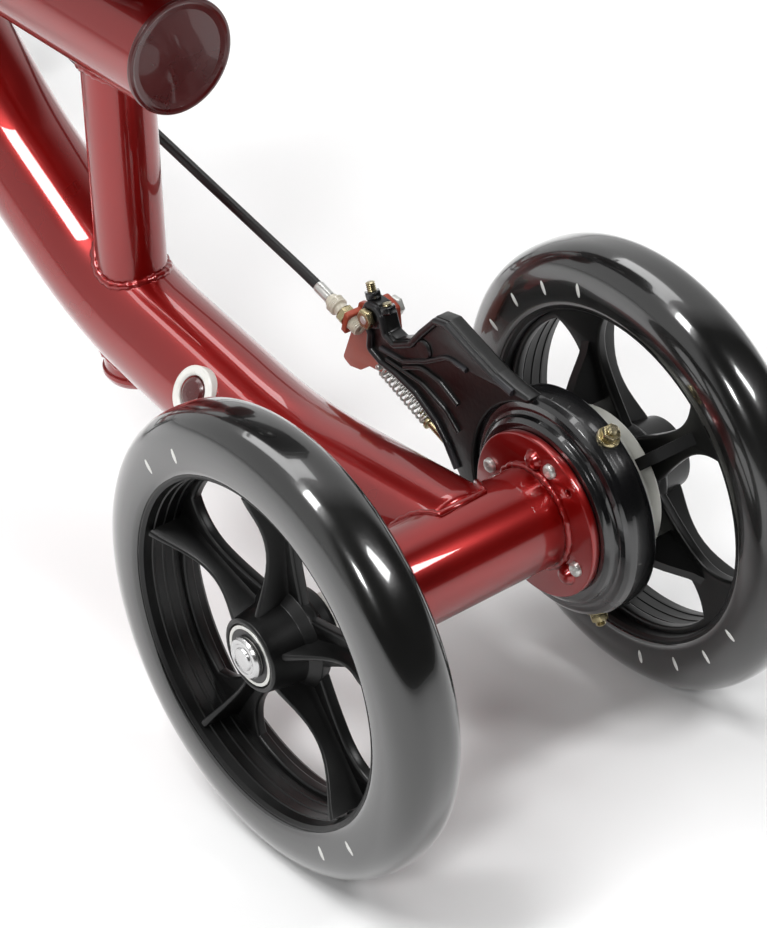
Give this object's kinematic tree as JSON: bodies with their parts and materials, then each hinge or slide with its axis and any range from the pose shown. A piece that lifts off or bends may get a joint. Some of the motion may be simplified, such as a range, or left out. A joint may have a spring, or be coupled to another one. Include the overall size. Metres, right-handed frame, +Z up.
{
  "type": "knee scooter",
  "caption": "Steerable knee scooter with wheels front and rear, a curved tube frame, a rear band brake, a folding column and a height-set knee pad.",
  "frame": {"origin": "on the floor, midway between the axles and midway between the handgrip ends", "axes": "+X is the rider's right, +Y is forward towards the steered wheels, +Z is up"},
  "size_m": [0.448, 0.8932, 0.8522],
  "materials": {
    "frame_red": "gloss candy red paint",
    "tyre_black": "smooth solid tyre",
    "wheel_black": "moulded gloss black",
    "black_paint": "gloss black paint",
    "zinc": "bright zinc plate",
    "brass_zinc": "yellow zinc plate",
    "copper": "copper brown plate",
    "silver": "satin anodised",
    "black_plastic": "satin black",
    "white_plastic": "white",
    "red_plastic": "red",
    "rubber_black": "ribbed rubber",
    "pad_vinyl": "black upholstery vinyl",
    "lining": "friction lining"
  },
  "bodies": {
    "frame": {"main_spine": "frame_red", "post_sleeve": "frame_red", "top_tube": "frame_red", "frame_plugs": "red_plastic", "plug_washer": "white_plastic", "rear_axle_tube": "frame_red", "brake_flange": "frame_red", "rear_axle": "zinc", "axle_spacers": "white_plastic", "head_tube": "frame_red", "headset_cups": "black_paint", "front_beam": "frame_red", "kingpins": "zinc", "brake_cover": "black_paint", "brake_screws": "zinc", "brake_band": "lining", "band_screws": "brass_zinc", "pad_clamp": "black_paint", "brake_cable": "black_plastic", "return_spring": "zinc"},
    "brake_arm": {"brake_arm": "copper", "cable_adjuster": "silver"},
    "wheel_rear_left": {"tyre_rear_left": "tyre_black", "wheel_rear_left": "wheel_black", "bearings_rear_left": "zinc"},
    "wheel_rear_right": {"tyre_rear_right": "tyre_black", "wheel_rear_right": "wheel_black", "bearings_rear_right": "zinc", "brake_drum": "zinc"},
    "steering": {"steerer": "frame_red", "pitman_arm": "black_paint", "fold_pin": "zinc", "cable_lower": "black_plastic"},
    "knuckle_left": {"knuckle_left": "black_paint"},
    "knuckle_right": {"knuckle_right": "black_paint"},
    "tie_rod": {"tie_rod": "black_paint", "tie_rod_bolts": "zinc"},
    "wheel_front_left": {"tyre_front_left": "tyre_black", "wheel_front_left": "wheel_black", "bearings_front_left": "zinc"},
    "wheel_front_right": {"tyre_front_right": "tyre_black", "wheel_front_right": "wheel_black", "bearings_front_right": "zinc"},
    "fold_lever": {"fold_lever": "black_plastic"},
    "column": {"column_tube": "black_paint", "column_clamp": "black_paint"},
    "column_clamp_lever": {"column_clamp_lever": "black_plastic"},
    "handlebar": {"handlebar_stem": "silver", "handlebar": "silver", "grips": "rubber_black", "lever_bracket": "black_plastic", "hand_pin": "zinc", "cable_upper": "black_plastic"},
    "brake_lever": {"brake_lever": "silver"},
    "pad": {"pad_post": "silver", "pad_bracket": "black_paint", "pad_board": "black_plastic", "pad_bolts": "zinc", "pad_cushion": "pad_vinyl"},
    "pad_clamp_lever": {"pad_clamp_lever": "black_plastic"}
  },
  "joints": [
    {"name": "steer", "type": "hinge", "parent": "frame", "child": "steering", "pos_m": [0, 0.345, 0.3], "axis": [0, 0, 1], "range_deg": [-30, 30], "deforming": ["cable_lower"]},
    {"name": "steer_left", "type": "hinge", "parent": "frame", "child": "knuckle_left", "pos_m": [-0.112, 0.345, 0.1016], "axis": [0, 0, 1], "range_deg": [-30, 30]},
    {"name": "steer_right", "type": "hinge", "parent": "frame", "child": "knuckle_right", "pos_m": [0.112, 0.345, 0.1016], "axis": [0, 0, 1], "range_deg": [-30, 30]},
    {"name": "tie_rod_turn", "type": "hinge", "parent": "steering", "child": "tie_rod", "pos_m": [0, 0.3, 0.06], "axis": [0, 0, 1], "range_deg": [-30, 30]},
    {"name": "spin_front_left", "type": "hinge", "parent": "knuckle_left", "child": "wheel_front_left", "pos_m": [-0.16, 0.345, 0.1016], "axis": [1, 0, 0], "continuous": true},
    {"name": "spin_front_right", "type": "hinge", "parent": "knuckle_right", "child": "wheel_front_right", "pos_m": [0.16, 0.345, 0.1016], "axis": [1, 0, 0], "continuous": true},
    {"name": "spin_rear_left", "type": "hinge", "parent": "frame", "child": "wheel_rear_left", "pos_m": [-0.09465, -0.345, 0.1016], "axis": [1, 0, 0], "continuous": true},
    {"name": "spin_rear_right", "type": "hinge", "parent": "frame", "child": "wheel_rear_right", "pos_m": [0.09465, -0.345, 0.1016], "axis": [1, 0, 0], "continuous": true},
    {"name": "fold", "type": "hinge", "parent": "steering", "child": "column", "pos_m": [0, 0.345, 0.5], "axis": [-1, 0, 0], "range_deg": [-80, 0], "deforming": ["cable_lower"]},
    {"name": "fold_lever_open", "type": "hinge", "parent": "steering", "child": "fold_lever", "pos_m": [-0.0376, 0.345, 0.5], "axis": [0, 1, 0], "range_deg": [0, 110]},
    {"name": "bar_height", "type": "slide", "parent": "column", "child": "handlebar", "axis": [0, -0.1392, 0.9903], "range_m": [0, 0.12], "deforming": ["cable_upper"]},
    {"name": "column_lever_open", "type": "hinge", "parent": "column", "child": "column_clamp_lever", "pos_m": [-0.028, 0.28531, 0.74508], "axis": [0, 0.1392, -0.9903], "range_deg": [0, 110]},
    {"name": "hand_brake", "type": "hinge", "parent": "handlebar", "child": "brake_lever", "pos_m": [0.086, 0.32709, 0.83578], "axis": [0, 0.1392, -0.9903], "range_deg": [0, 14], "stiffness_Nm_per_rad": 1.2},
    {"name": "brake_arm_turn", "type": "hinge", "parent": "frame", "child": "brake_arm", "pos_m": [0.0528, -0.232, 0.1426], "axis": [-1, 0, 0], "range_deg": [0, 6], "deforming": ["return_spring", "brake_cable"]},
    {"name": "pad_height", "type": "slide", "parent": "frame", "child": "pad", "axis": [0, 0, 1], "range_m": [0, 0.13]},
    {"name": "pad_lever_open", "type": "hinge", "parent": "frame", "child": "pad_clamp_lever", "pos_m": [0.0269, -0.1379, 0.2954], "axis": [0, 0, 1], "range_deg": [0, 110]}
  ],
  "couplings": [
    {"joint": "steer_left", "follows": "steer", "ratio": 1},
    {"joint": "steer_right", "follows": "steer", "ratio": 1},
    {"joint": "tie_rod_turn", "follows": "steer", "ratio": -1},
    {"joint": "brake_arm_turn", "follows": "hand_brake", "ratio": 0.42857}
  ]
}
